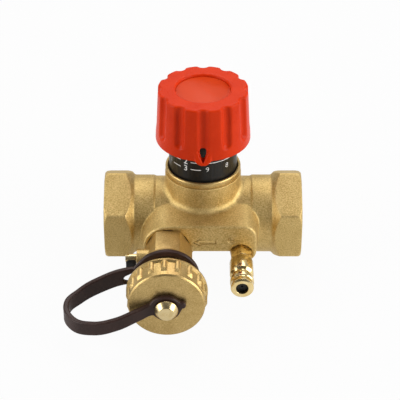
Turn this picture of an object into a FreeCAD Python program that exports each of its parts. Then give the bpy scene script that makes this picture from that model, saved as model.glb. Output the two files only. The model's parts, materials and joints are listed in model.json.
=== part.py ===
import FreeCAD, Part
import math
import os

from FreeCAD import Placement, Rotation, Vector

# Balancing valve for a 3/4 inch heating pipe, millimetres.
# The origin is where the pipe axis (X) meets the spindle axis (Z). The drain cock and the
# measuring nipple point to the front (-Y). The valve is drawn partly open.

# Clearances
running_gap = 0.05
sliding_gap = 0.10
seal_gap = 0.02
loose_gap = 0.30
edge_tolerance = 0.01

# Corner kind of an offset outline
mitred = 2

# Pipe run: two hexagon ends, collars and the tube between them
body_length = 75.0
end_flats = 32.0
end_hex_length = 8.1
end_cone_length = 3.2
end_edge_radius = 1.1
end_chamfer_drop = 1.7
end_chamfer_length = 1.2
pipe_thread_radius = 13.22
pipe_thread_length = 12.5
pipe_thread_lead_in = 0.9
collar_step = 0.4
collar_length = 7.6
tube_step = 0.1
passage_radius = 9.5
passage_wall = 14.0

# Neck
neck_wall = 1.3
neck_top = 23.0
neck_rim_height = 2.5
neck_rim_step = 0.35
neck_groove_width = 0.35
neck_fillet = 2.5
counterbore_gap = 0.25
counterbore_depth = 4.0
bonnet_thread_radius = 12.0
bonnet_thread_length = 7.5
chamber_radius = 10.5

# Seat between the upper and the lower chamber
seat_top = 0.5
seat_thickness = 3.0
seat_hole_radius = 7.0
lower_chamber_radius = 11.0
lower_chamber_reach = 7.5
port_root = 6.0

# Front block that carries the drain cock and the measuring nipple
pad_front = 22.8
pad_root = 8.0
pad_draft = 1.6
pad_edge_radius = 0.8
drain_x = -13.0
drain_boss_radius = 9.4
pad_right = 20.0
pad_corner_radius = 5.0
pad_bottom = 2.0
nipple_x = 14.3
nipple_drop = 3.1
nipple_boss_width = 9.2
nipple_boss_drop = 7.0
nipple_boss_corner = 1.2
arrow_middle = (0.5, 2.2)
arrow_length = 8.8
arrow_head_length = 2.9
arrow_head_height = 3.4
arrow_shaft_height = 1.5
arrow_line = 0.45
arrow_depth = 0.35
dot_middle = (10.4, 3.3)
dot_radius = 1.3

# Bonnet
bonnet_skirt_radius = 9.5
bonnet_skirt_depth = 3.5
bonnet_flats = 18.0
bonnet_hex_height = 5.0
bonnet_tube_radius = 8.0
bonnet_rise = 15.5
nut_thread_length = 8.5
gland_length = 7.5
gland_groove_width = 2.1
gland_groove_pitch = 3.4
gland_groove_first = 2.0
gland_ring_section = 0.95
bonnet_ring_section = 0.68
bonnet_ring_chamfer = 1.5
nut_relief = 0.2

# Spindle thread: turns between shut and fully open, and the setting that is drawn
lift_pitch = 3.0
open_turns = 3.2
drawn_turns = 2.28
drawn_lift = drawn_turns * lift_pitch
full_lift = open_turns * lift_pitch

# Cone and regulating plug
cone_radius = 9.0
cone_height = 4.6
plug_top_radius = 6.7
plug_tip_radius = 3.5
plug_length = 8.8
seal_inner = 7.3
seal_outer = 8.7
seal_height = 1.5
cone_edge = 0.3
journal_radius = 3.5
journal_length = 4.0
clip_wire = 0.6

# Shut-off spindle
spindle_thread_radius = 5.9
stem_radius = 4.0
spindle_collar = 0.2
drive_square = 5.6
spindle_bore_radius = 2.6
spindle_foot = 3.84
spindle_end_above_hub = 1.5

# Setting spindle
setting_radius = 2.5
setting_travel = 4.0
setting_recess = 0.5
setting_key = 3.0
setting_key_depth = 4.0
setting_ring_section = 0.42
setting_ring_depth = 5.1
setting_groove_width = 1.0

# Scale ring
scale_radius = 12.85
scale_gap = 0.4
scale_rise = 19.0
scale_lip_height = 1.5
scale_edge = 0.4

# Knob
knob_shut_gap = 5.06
knob_height = 20.9
knob_wall = 2.57
knob_taper = 1.01
knob_edge = 0.7
knob_roof = 3.2
knob_skirt_gap = 2.35
flute_count = 12
flute_radius = 2.3
flute_depth = 1.25
flute_end = 5.8
flute_lip = 0.9
hub_radius = 6.5
hub_length = 4.0
hub_below_roof = 2.5
cover_radius = 10.1
cover_recess = 2.0
cover_thickness = 1.0
cover_gap = 0.1
clip_pocket_radius = 6.0
knob_clip_radius = 5.2
knob_clip_thickness = 0.8
knob_clip_groove = 3.3
knob_clip_gap = 2.2
pointer_width = 5.7
pointer_top = 3.1
pointer_drop = 1.0
pointer_tip_width = 2.2
pointer_stand = 1.3
pointer_groove_width = 4.8
pointer_groove_wall = 1.5
window_width = 2.4
window_tip_width = 1.0
window_height = 4.4
window_bottom = 0.6
window_corner = 0.5

# Drain cock
drain_shank_radius = 6.5
drain_shank_length = 10.3
drain_inlet_radius = 3.5
drain_flats = 15.6
drain_hex_length = 13.7
drain_hex_chamfer = 0.9
drain_collar_radius = 9.9
drain_collar_length = 1.8
drain_neck_radius = 9.1
drain_neck_length = 9.5
hose_thread_radius = 10.48
hose_thread_depth = 0.95
hose_thread_length = 5.7
outlet_step = 0.8
drain_ring_section = 0.7
drain_ring_recess = 1.5

# Ball, seats and stem of the drain cock
ball_chamber_wall = 0.4
ball_radius = 5.0
ball_hole_radius = 3.5
ball_chamber_gap = 0.7
seat_ring_reach = 1.0
seat_ring_length = 3.3
seat_ring_bore = 3.5
retainer_length = 4.8
retainer_slot = 1.6
stem_boss_radius = 3.35
stem_boss_length = 6.6
stem_pin_radius = 1.5
stem_pin_length = 4.2
stem_collar_radius = 2.2
stem_collar_length = 1.9
tang_thickness = 1.4
tang_depth = 1.6
tang_width = 2.8
stem_slot_width = 0.9
stem_slot_depth = 1.3
stem_ring_section = 0.28
stem_ring_depth = 2.6
stem_groove_width = 0.7
lever_width = 4.0
lever_length = 3.7
lever_drop = 6.0
lever_chamfer = 0.8

# Cap of the drain cock
cap_radius = 13.8
cap_length = 8.7
cap_end_thickness = 2.5
cap_edge = 0.55
cap_flange = 0.95
cap_flange_length = 0.7
cap_ribs = 18
cap_rib_turn = 3.0
cap_rib_radius = 1.1
cap_rib_height = 0.85
cap_rib_slant = 1.3
cap_rib_front = 2.4
gasket_gap = 0.2
gasket_thickness = 1.8

# Stud
stud_shank_radius = 2.4
stud_head_radius = 4.2
stud_tip_radius = 2.7
stud_shank_length = 2.6
stud_head_length = 2.5
stud_rim = 0.35
stud_tail_radius = 3.6
stud_tail_length = 0.9

# Strap: points of the band's middle line from the rim of the eye on the drain's neck,
# and from the rim of the eye on the stud
strap_thickness = 2.0
strap_width = 7.2
strap_button_width = 4.4
strap_eye_radius = 11.8
strap_eye_gap = 0.3
strap_eye_stand = 0.9
strap_eye_length = 2.4
strap_button_radius = 5.2
strap_button_gap = 0.35
strap_button_stand = 0.1
strap_button_length = 2.0
strap_bend_at_eye = [(-5.7, 0.4, -1.8), (-12.8, -1.6, -3.3), (-20.1, -4.6, -5.6), (-24.6, -9.6, -7.3)]
strap_bend_at_stud = [(-28.3, 2.05, -8.5), (-20.9, -2.45, -7.6), (-12.6, -3.45, -5.2), (-4.0, -2.75, -1.9)]

# Measuring nipple
nipple_spotface_radius = 4.5
nipple_spotface_depth = 0.6
nipple_thread_radius = 2.5
nipple_thread_length = 8.0
nipple_flats = 7.6
nipple_hex_length = 5.6
nipple_flange_radius = 4.4
nipple_flange_length = 7.1
nipple_neck_radius = 3.5
nipple_neck_length = 1.54
nipple_bead_radius = 4.4
nipple_bead_length = 1.66
nipple_groove_radius = 4.0
nipple_groove_length = 0.9
nipple_rim_radius = 4.25
nipple_rim_length = 1.4
nipple_tip_radius = 3.6
nipple_tip_cone = 0.55
nipple_bore_radius = 2.3
nipple_drill_radius = 1.25
nipple_lip_length = 1.2
nipple_chamber_length = 11.6
nipple_core_radius = 2.7
nipple_core_hole = 0.4
nipple_ring_section = 0.3
nipple_ring_recess = 0.7

# Directions
to_right = Vector(1, 0, 0)
to_left = Vector(-1, 0, 0)
to_front = Vector(0, -1, 0)
upward = Vector(0, 0, 1)
middle = Vector(0, 0, 0)
drain_axis = Vector(drain_x, 0, 0)
nipple_axis = Vector(nipple_x, 0, -nipple_drop)

# Pipe run: distances from the middle of the valve
half_length = body_length / 2
end_corner_radius = end_flats / math.sqrt(3)
end_hex_start = half_length - end_hex_length
end_cone_start = end_hex_start - end_cone_length

# Heights above the pipe axis
seat_bottom = seat_top - seat_thickness
counterbore_floor = neck_top - counterbore_depth
bonnet_foot = counterbore_floor - bonnet_thread_length
bonnet_hex_top = counterbore_floor + bonnet_hex_height
bonnet_top = neck_top + bonnet_rise
nut_bottom = bonnet_foot + bonnet_skirt_depth
nut_top = nut_bottom + nut_thread_length
gland_bottom = bonnet_top - gland_length
gland_groove_heights = [gland_bottom + gland_groove_first + gland_groove_pitch * k for k in range(2)]
scale_top = neck_top + scale_rise
cone_foot = seat_top + seal_gap + drawn_lift
cone_top = cone_foot + cone_height
clip_height = cone_top - journal_length / 2
spindle_thread_bottom = cone_top + spindle_collar
spindle_thread_top = gland_bottom - seal_gap - (full_lift - drawn_lift)
spindle_bore_floor = spindle_thread_bottom + spindle_foot
setting_foot = spindle_bore_floor + setting_travel
knob_bottom = neck_top + knob_shut_gap + drawn_lift
knob_top = knob_bottom + knob_height
roof_bottom = knob_top - knob_roof
hub_top = roof_bottom - hub_below_roof
hub_bottom = hub_top - hub_length
spindle_end = hub_top + spindle_end_above_hub
setting_ring_height = spindle_end - setting_ring_depth

# Distances in front of the pipe axis
drain_shank_start = pad_front - drain_shank_length
drain_hex_end = pad_front + drain_hex_length
drain_collar_end = drain_hex_end + drain_collar_length
drain_neck_end = drain_collar_end + drain_neck_length
hose_thread_end = drain_neck_end + hose_thread_length
ball_chamber_start = pad_front + ball_chamber_wall
ball_centre = ball_chamber_start + seat_ring_reach + ball_radius
seat_ring_end = ball_chamber_start + seat_ring_length
outer_seat_end = 2 * ball_centre - ball_chamber_start
retainer_end = outer_seat_end + retainer_length
cap_floor = hose_thread_end + gasket_thickness
cap_front = cap_floor + cap_end_thickness
cap_back = cap_front - cap_length
stud_head_start = cap_front + stud_shank_length
stud_head_end = stud_head_start + stud_head_length
strap_eye_back = drain_collar_end + strap_eye_stand
strap_button_back = cap_front + strap_button_stand
nipple_seat = pad_front - nipple_spotface_depth
nipple_thread_start = nipple_seat - nipple_thread_length
nipple_hex_end = nipple_seat + nipple_hex_length
nipple_flange_start = nipple_hex_end + nipple_flange_radius - nipple_flats / 2
nipple_flange_end = nipple_flange_start + nipple_flange_length
nipple_neck_start = nipple_flange_end + nipple_flange_radius - nipple_neck_radius
nipple_neck_end = nipple_neck_start + nipple_neck_length
nipple_bead_start = nipple_neck_end + nipple_bead_radius - nipple_neck_radius
nipple_bead_end = nipple_bead_start + nipple_bead_length
nipple_groove_start = nipple_bead_end + nipple_bead_radius - nipple_groove_radius
nipple_groove_end = nipple_groove_start + nipple_groove_length
nipple_rim_start = nipple_groove_end + nipple_rim_radius - nipple_groove_radius
nipple_rim_end = nipple_rim_start + nipple_rim_length
nipple_tip = nipple_rim_end + nipple_tip_cone
nipple_lip_start = nipple_tip - nipple_lip_length
nipple_chamber_start = nipple_lip_start - nipple_chamber_length
stem_axis = Vector(drain_x, -ball_centre, 0)

# Distances to the left of the drain's axis
stem_collar_end = ball_radius + stem_collar_length
stem_boss_end = ball_radius + stem_boss_length
stem_pin_end = stem_boss_end + stem_pin_length
stem_ring_place = stem_boss_end - stem_ring_depth

# Radii that follow from a fit
counterbore_radius = scale_radius + counterbore_gap
neck_radius = counterbore_radius + neck_wall
tube_radius = neck_radius + tube_step
collar_radius = tube_radius + collar_step
knob_cavity_radius = scale_radius + knob_skirt_gap
knob_bottom_radius = knob_cavity_radius + knob_wall
knob_top_radius = knob_bottom_radius - knob_taper
pointer_groove_floor = knob_cavity_radius + pointer_groove_wall
scale_inner = bonnet_flats / math.sqrt(3) + scale_gap
gland_groove_radius = stem_radius + running_gap + 2 * gland_ring_section + seal_gap
ball_chamber_radius = ball_radius + ball_chamber_gap
outlet_radius = ball_chamber_radius + outlet_step
stem_groove_floor = stem_pin_radius + running_gap - 2 * (stem_ring_section + seal_gap)
strap_eye_hole = drain_neck_radius + strap_eye_gap
strap_button_hole = stud_shank_radius + strap_button_gap


def placed(shape, start, along):
    """Turn a shape drawn along +Z so that it runs from start in another direction."""
    shape.Placement = Placement(start, Rotation(upward, along))
    return shape


def turned(profile, start=middle, along=upward):
    """Revolve a closed outline of (radius, distance along the axis) points."""
    points = [Vector(radius, 0, height) for radius, height in profile]
    face = Part.Face(Part.makePolygon(points + points[:1]))
    return placed(face.revolve(middle, upward, 360), start, along)


def rod(radius, low, high, start=middle, along=upward):
    return placed(Part.makeCylinder(radius, high - low, Vector(0, 0, low)), start, along)


def tube(outer, inner, low, high, start=middle, along=upward):
    profile = [(inner, low), (outer, low), (outer, high), (inner, high)]
    return turned(profile, start, along)


def prism(flats, sides, low, high, start=middle, along=upward, turn=0.0):
    """A regular bar: turn is the angle of its first corner."""
    corner = flats / 2 / math.cos(math.pi / sides)
    angles = [math.radians(turn + 360.0 * k / sides) for k in range(sides)]
    points = [Vector(corner * math.cos(a), corner * math.sin(a), low) for a in angles]
    face = Part.Face(Part.makePolygon(points + points[:1]))
    return placed(face.extrude(Vector(0, 0, high - low)), start, along)


def block(x_span, y_span, z_span):
    size = [span[1] - span[0] for span in (x_span, y_span, z_span)]
    return Part.makeBox(*size, Vector(x_span[0], y_span[0], z_span[0]))


def o_ring(centre_radius, section, height, start=middle, along=upward):
    return placed(Part.makeTorus(centre_radius, section, Vector(0, 0, height)), start, along)


def joined(shapes):
    return shapes[0].multiFuse(shapes[1:]).removeSplitter()


def rounded(shape, radius, chosen):
    """Round the edges for which chosen(edge) is true."""
    return shape.makeFillet(radius, [edge for edge in shape.Edges if chosen(edge)])


def seams_of(shape, edge):
    return shape.ancestorsOfType(edge, Part.Face)


def edge_middle(edge):
    return edge.valueAt((edge.FirstParameter + edge.LastParameter) / 2)


def hexagon_end(along):
    """One pipe end: a hexagon with rounded edges, chamfered outside and coned to the collar."""
    bar = prism(end_flats, 6, end_cone_start, half_length)
    bar = rounded(bar, end_edge_radius, lambda edge: abs(edge.tangentAt(0).z) > 0.9)
    face_radius = end_corner_radius - end_chamfer_drop
    blank = turned([
        (0, end_cone_start),
        (collar_radius, end_cone_start),
        (end_corner_radius, end_hex_start),
        (end_corner_radius, half_length - end_chamfer_length),
        (face_radius, half_length),
        (0, half_length),
    ])
    end = bar.common(blank)
    end.Placement = Placement(middle, Rotation(Vector(0, 1, 0), 90 if along.x > 0 else -90))
    return end


def pad_outline(distance, grow):
    """Outline of the front block at a distance in front of the pipe axis, grown all round."""
    def at(x, z):
        return Vector(x, -distance, z)

    def arc(centre, radius, begin, end):
        angles = [math.radians(a) for a in (begin, (begin + end) / 2, end)]
        return Part.Arc(*[
            at(centre[0] + radius * math.cos(a), centre[1] + radius * math.sin(a)) for a in angles
        ]).toShape()

    drain_r = drain_boss_radius + grow
    corner_r = pad_corner_radius + grow
    small_r = nipple_boss_corner + grow
    top = drain_r
    right = pad_right + grow
    bottom = -pad_bottom - grow
    boss_bottom = -nipple_boss_drop - grow
    boss_left = pad_right - nipple_boss_width - grow
    drain_turn = math.degrees(math.asin(bottom / drain_r))
    drain_end = drain_x + drain_r * math.cos(math.radians(drain_turn))
    edges = [
        Part.makeLine(at(drain_x, top), at(right - corner_r, top)),
        arc((right - corner_r, top - corner_r), corner_r, 90.0, 0.0),
        Part.makeLine(at(right, top - corner_r), at(right, boss_bottom + corner_r)),
        arc((right - corner_r, boss_bottom + corner_r), corner_r, 0.0, -90.0),
        Part.makeLine(at(right - corner_r, boss_bottom), at(boss_left + small_r, boss_bottom)),
        arc((boss_left + small_r, boss_bottom + small_r), small_r, -90.0, -180.0),
        Part.makeLine(at(boss_left, boss_bottom + small_r), at(boss_left, bottom)),
        Part.makeLine(at(boss_left, bottom), at(drain_end, bottom)),
        arc((drain_x, 0.0), drain_r, drain_turn, -270.0),
    ]
    return Part.Wire(edges)


def front_block():
    sections = [pad_outline(pad_root, pad_draft), pad_outline(pad_front, 0.0)]
    solid = Part.makeLoft(sections, True, True)
    return rounded(solid, pad_edge_radius, lambda e: abs(edge_middle(e).y + pad_front) < 1e-6
                   and abs(e.BoundBox.YLength) < 1e-6)


def flow_arrow():
    """Outline of an arrow, sunk in the pad to show the direction of flow."""
    x, z = arrow_middle
    tip = x - arrow_length / 2
    neck = tip + arrow_head_length
    tail = x + arrow_length / 2
    outline = [
        (tip, 0), (neck, arrow_head_height / 2), (neck, arrow_shaft_height / 2),
        (tail, arrow_shaft_height / 2), (tail, -arrow_shaft_height / 2),
        (neck, -arrow_shaft_height / 2), (neck, -arrow_head_height / 2),
    ]
    points = [Vector(px, -pad_front, z + pz) for px, pz in outline]
    edge = Part.makePolygon(points + points[:1])
    line = Part.Face(edge).cut(Part.Face(edge.makeOffset2D(-arrow_line, mitred)))
    return line.extrude(to_front * -arrow_depth)


def body_outside():
    rim_radius = neck_radius - neck_rim_step / 2
    rim_foot = neck_top - neck_rim_height
    neck = turned([
        (0, 0),
        (neck_radius, 0),
        (neck_radius, rim_foot - neck_groove_width),
        (neck_radius - neck_rim_step, rim_foot - neck_groove_width / 2),
        (rim_radius, rim_foot),
        (rim_radius, neck_top - neck_rim_step),
        (neck_radius - neck_rim_step, neck_top),
        (0, neck_top),
    ])
    pieces = [rod(tube_radius, -end_cone_start, end_cone_start, middle, to_right), neck, front_block()]
    for along in (to_right, to_left):
        pieces.append(hexagon_end(along))
        pieces.append(rod(collar_radius, end_cone_start - collar_length, end_cone_start, middle, along))
    outside = joined(pieces)
    room_beside_neck = end_cone_start - collar_length - neck_radius - sliding_gap
    foot_radius = min(neck_fillet, room_beside_neck)

    def at_neck_foot(edge):
        point = edge_middle(edge)
        on_neck = abs(math.hypot(point.x, point.y) - neck_radius) < edge_tolerance
        return on_neck and point.z < rim_foot - foot_radius and len(seams_of(outside, edge)) == 2

    outside = rounded(outside, foot_radius, at_neck_foot)
    dot = tube(dot_radius, dot_radius - arrow_line, pad_front - arrow_depth, pad_front,
               Vector(dot_middle[0], 0, dot_middle[1]), to_front)
    return outside.cut([flow_arrow(), dot])


def body_passages():
    """Everything that is bored, cored or tapped in the casting."""
    shoulder = pipe_thread_radius - passage_radius
    thread_end = half_length - pipe_thread_length
    beyond = body_length
    cuts = []
    for along in (to_right, to_left):
        cuts.append(turned([
            (0, passage_wall),
            (passage_radius, passage_wall),
            (passage_radius, thread_end - shoulder / 2),
            (pipe_thread_radius, thread_end),
            (pipe_thread_radius, half_length - pipe_thread_lead_in),
            (pipe_thread_radius + pipe_thread_lead_in, half_length),
            (0, half_length),
        ], middle, along))
    cuts.append(turned([
        (0, seat_top),
        (chamber_radius, seat_top),
        (chamber_radius, bonnet_foot),
        (bonnet_thread_radius, bonnet_foot),
        (bonnet_thread_radius, counterbore_floor),
        (counterbore_radius, counterbore_floor),
        (counterbore_radius, neck_top),
        (0, neck_top),
    ]))
    cuts.append(rod(seat_hole_radius, seat_bottom, seat_top))
    lower = rod(lower_chamber_radius, -lower_chamber_reach, passage_wall, middle, to_right)
    cuts.append(lower.common(block((-beyond, beyond), (-beyond, beyond), (-beyond, seat_bottom))))
    upper = rod(passage_radius, -passage_wall, 0, middle, to_right)
    cuts.append(upper.common(block((-beyond, beyond), (-beyond, beyond), (seat_top, beyond))))
    recess = drain_shank_radius + 2 * (drain_ring_section + seal_gap)
    cuts.append(turned([
        (0, port_root),
        (drain_inlet_radius, port_root),
        (drain_inlet_radius, drain_shank_start),
        (drain_shank_radius, drain_shank_start),
        (drain_shank_radius, pad_front - drain_ring_recess),
        (recess, pad_front - drain_ring_recess),
        (recess, pad_front),
        (0, pad_front),
    ], drain_axis, to_front))
    recess = nipple_thread_radius + 2 * (nipple_ring_section + seal_gap)
    cuts.append(turned([
        (0, port_root),
        (nipple_drill_radius, port_root),
        (nipple_drill_radius, nipple_thread_start),
        (nipple_thread_radius + running_gap, nipple_thread_start),
        (nipple_thread_radius + running_gap, nipple_seat - nipple_ring_recess),
        (recess, nipple_seat - nipple_ring_recess),
        (recess, nipple_seat),
        (nipple_spotface_radius, nipple_seat),
        (nipple_spotface_radius, pad_front),
        (0, pad_front),
    ], nipple_axis, to_front))
    return cuts


def valve_body():
    return body_outside().cut(body_passages())


def bonnet():
    """Headpiece: outside thread, spanner hexagon, tube, inside thread and gland."""
    outside = joined([
        turned([
            (0, bonnet_foot),
            (bonnet_thread_radius - bonnet_ring_chamfer, bonnet_foot),
            (bonnet_thread_radius - bonnet_ring_chamfer, bonnet_foot + bonnet_ring_chamfer),
            (bonnet_thread_radius, bonnet_foot + bonnet_ring_chamfer),
            (bonnet_thread_radius, counterbore_floor),
            (0, counterbore_floor),
        ]),
        prism(bonnet_flats, 6, counterbore_floor, bonnet_hex_top),
        rod(bonnet_tube_radius, bonnet_hex_top, bonnet_top),
    ])
    nut_radius = spindle_thread_radius + sliding_gap
    clear_radius = nut_radius + nut_relief
    cuts = [
        rod(bonnet_skirt_radius, bonnet_foot, nut_bottom),
        rod(nut_radius, nut_bottom, nut_top),
        rod(clear_radius, nut_top, gland_bottom),
        rod(stem_radius + running_gap, gland_bottom, bonnet_top),
    ]
    for height in gland_groove_heights:
        half = gland_groove_width / 2
        cuts.append(rod(gland_groove_radius, height - half, height + half))
    return outside.cut(cuts)


def bonnet_o_ring():
    centre = bonnet_thread_radius - bonnet_ring_chamfer / 2
    return o_ring(centre, bonnet_ring_section, bonnet_foot + bonnet_ring_chamfer / 2)


def spindle_o_rings():
    centre = stem_radius + running_gap + gland_ring_section
    rings = [o_ring(centre, gland_ring_section, height) for height in gland_groove_heights]
    return Part.makeCompound(rings)


def scale_ring():
    """Sleeve with the setting numbers, standing on the bonnet's hexagon by an inner lip."""
    return turned([
        (scale_inner, counterbore_floor),
        (scale_radius, counterbore_floor),
        (scale_radius, scale_top - scale_edge),
        (scale_radius - scale_edge, scale_top),
        (scale_inner, scale_top),
        (scale_inner, bonnet_hex_top + scale_lip_height),
        (bonnet_tube_radius, bonnet_hex_top + scale_lip_height),
        (bonnet_tube_radius, bonnet_hex_top),
        (scale_inner, bonnet_hex_top),
    ])


def valve_cone():
    """Cone disc with the tapered regulating plug under it and a socket for the spindle."""
    socket = journal_radius + running_gap
    solid = turned([
        (0, cone_foot + seal_height - plug_length),
        (plug_tip_radius, cone_foot + seal_height - plug_length),
        (plug_top_radius, cone_foot),
        (seal_inner, cone_foot),
        (seal_inner, cone_foot + seal_height),
        (seal_outer, cone_foot + seal_height),
        (seal_outer, cone_foot),
        (cone_radius, cone_foot + cone_edge),
        (cone_radius, cone_top),
        (0, cone_top),
    ])
    groove = o_ring(journal_radius, clip_wire + seal_gap, clip_height)
    return solid.cut([rod(socket, cone_top - journal_length - sliding_gap, cone_top), groove])


def cone_seal():
    return tube(seal_outer, seal_inner, cone_foot - seal_gap, cone_foot + seal_height)


def cone_clip():
    """Open wire ring that sits half in the cone and half in the spindle's groove."""
    ring = o_ring(journal_radius, clip_wire, clip_height)
    gap = block((0, 2 * journal_radius), (-clip_wire, clip_wire), (clip_height - 1, clip_height + 1))
    return ring.cut(gap)


def shutoff_spindle():
    """Hollow spindle: journal for the cone, lifting thread, stem and square for the knob."""
    solid = turned([
        (0, cone_top - journal_length),
        (journal_radius, cone_top - journal_length),
        (journal_radius, spindle_thread_bottom),
        (spindle_thread_radius, spindle_thread_bottom),
        (spindle_thread_radius, spindle_thread_top),
        (stem_radius, spindle_thread_top),
        (stem_radius, spindle_end),
        (0, spindle_end),
    ])
    around = tube(2 * stem_radius, 0.0, hub_bottom, spindle_end)
    square = prism(drive_square, 4, hub_bottom, spindle_end, middle, upward, 45.0)
    cuts = [
        around.cut(square),
        o_ring(journal_radius, clip_wire + loose_gap / 2, clip_height),
        tube(2 * stem_radius, knob_clip_groove, hub_top, hub_top + knob_clip_thickness),
        rod(spindle_bore_radius, spindle_bore_floor, spindle_end),
    ]
    return solid.cut(cuts)


def knob_flute(angle):
    """Cutter for one grip flute: it follows the knob's slope and ends in a rounded ramp."""
    low = knob_bottom + flute_end
    high = knob_top + flute_radius
    slope = (knob_top_radius - knob_bottom_radius) / knob_height
    stand_off = flute_radius - flute_depth
    foot = Vector(knob_bottom_radius + slope * flute_end + stand_off, 0, low)
    head = Vector(foot.x + slope * (high - low), 0, high)
    cutter = Part.makeCylinder(flute_radius, (head - foot).Length, foot, head - foot)
    cutter = cutter.fuse(Part.makeSphere(flute_radius, foot))
    cutter.rotate(middle, upward, angle)
    return cutter


def front_plate(outline):
    """A plate of (x, z) points in front of the spindle axis, thick enough to pass the knob."""
    points = [Vector(x, 0, z) for x, z in outline]
    face = Part.Face(Part.makePolygon(points + points[:1]))
    return face.extrude(to_front * (2 * knob_bottom_radius))


def knob_pointer():
    """Ramp under the front flute that stands out towards its tip and points at the scale."""
    top = knob_bottom + pointer_top
    tip = knob_bottom - pointer_drop
    nose = front_plate([
        (-pointer_width / 2, top), (pointer_width / 2, top), (pointer_width / 2, knob_bottom),
        (pointer_tip_width / 2, tip), (-pointer_tip_width / 2, tip), (-pointer_width / 2, knob_bottom),
    ])
    slope = (knob_top_radius - knob_bottom_radius) / knob_height
    ramp = turned([
        (knob_cavity_radius, tip),
        (knob_bottom_radius + pointer_stand, tip),
        (knob_bottom_radius + slope * pointer_top, top),
        (knob_cavity_radius, top),
    ])
    return nose.common(ramp)


def pointer_groove():
    """V-shaped cut that carries the front flute down to the pointer's tip."""
    wedge = front_plate([
        (-pointer_groove_width / 2, knob_bottom + pointer_top + pointer_stand),
        (pointer_groove_width / 2, knob_bottom + pointer_top + pointer_stand),
        (0, knob_bottom - pointer_drop / 2),
    ])
    reach = 2 * knob_bottom_radius
    inside = block((-reach, reach), (-pointer_groove_floor, reach), (-reach, 2 * knob_top))
    return wedge.cut(inside)


def knob_window():
    """Shield-shaped hole above the pointer through which the setting is read."""
    low = knob_bottom + window_bottom
    high = low + window_height
    shoulder = high - window_height / 2
    plate = front_plate([
        (-window_tip_width / 2, low), (window_tip_width / 2, low), (window_width / 2, shoulder),
        (window_width / 2, high), (-window_width / 2, high), (-window_width / 2, shoulder),
    ])
    return rounded(plate, window_corner, lambda edge: edge_middle(edge).z > high - edge_tolerance
                   and edge.BoundBox.YLength > knob_bottom_radius)


def knob():
    """Handwheel: fluted skirt, pointer, reading hole, hub with a square hole and cover recess."""
    recess_floor = knob_top - cover_recess
    outside = turned([
        (0, knob_bottom),
        (knob_bottom_radius, knob_bottom),
        (knob_top_radius, knob_top),
        (cover_radius, knob_top),
        (cover_radius, recess_floor),
        (0, recess_floor),
    ])
    step = 360.0 / flute_count
    outside = outside.cut([knob_flute(-90.0 + step * k) for k in range(flute_count)])

    def at_flute(edge):
        kinds = sorted(type(face.Surface).__name__ for face in seams_of(outside, edge))
        beside_skirt = kinds in (["Cone", "Cylinder"], ["Cone", "Sphere"])
        return beside_skirt and edge_middle(edge).z > knob_bottom + flute_lip

    def at_top(edge):
        level = edge.BoundBox.ZLength < edge_tolerance
        return level and abs(edge_middle(edge).z - knob_top) < edge_tolerance

    outside = rounded(outside, flute_lip, at_flute)
    outside = rounded(outside, knob_edge, at_top)
    outside = outside.fuse(knob_pointer())
    low = knob_bottom - pointer_drop
    cuts = [
        tube(knob_cavity_radius, hub_radius, low, roof_bottom),
        rod(hub_radius, low, hub_bottom),
        prism(drive_square + running_gap, 4, hub_bottom, hub_top, middle, upward, 45.0),
        rod(clip_pocket_radius, hub_top, knob_top),
        pointer_groove(),
        knob_window(),
    ]
    return outside.cut(cuts)


def knob_clip():
    """Spring ring above the knob's hub, open on one side."""
    ring = tube(knob_clip_radius, knob_clip_groove, hub_top, hub_top + knob_clip_thickness)
    gap = block((0, 2 * knob_clip_radius), (-knob_clip_gap / 2, knob_clip_gap / 2), (hub_top, knob_top))
    return ring.cut(gap)


def knob_cover():
    low = knob_top - cover_recess
    high = low + cover_thickness
    disc = rod(cover_radius - cover_gap, low, high)
    return rounded(disc, cover_gap, lambda edge: abs(edge_middle(edge).z - high) < edge_tolerance)


def setting_spindle():
    """Inner screw with a hexagon socket in its upper end."""
    top = spindle_end - setting_recess
    solid = rod(setting_radius, setting_foot, top)
    groove_radius = spindle_bore_radius - 2 * (setting_ring_section + seal_gap)
    groove = tube(2 * setting_radius, groove_radius, setting_ring_height - setting_groove_width / 2,
                  setting_ring_height + setting_groove_width / 2)
    return solid.cut([groove, prism(setting_key, 6, top - setting_key_depth, top)])


def setting_o_ring():
    centre = spindle_bore_radius - setting_ring_section - seal_gap
    return o_ring(centre, setting_ring_section, setting_ring_height)


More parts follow.
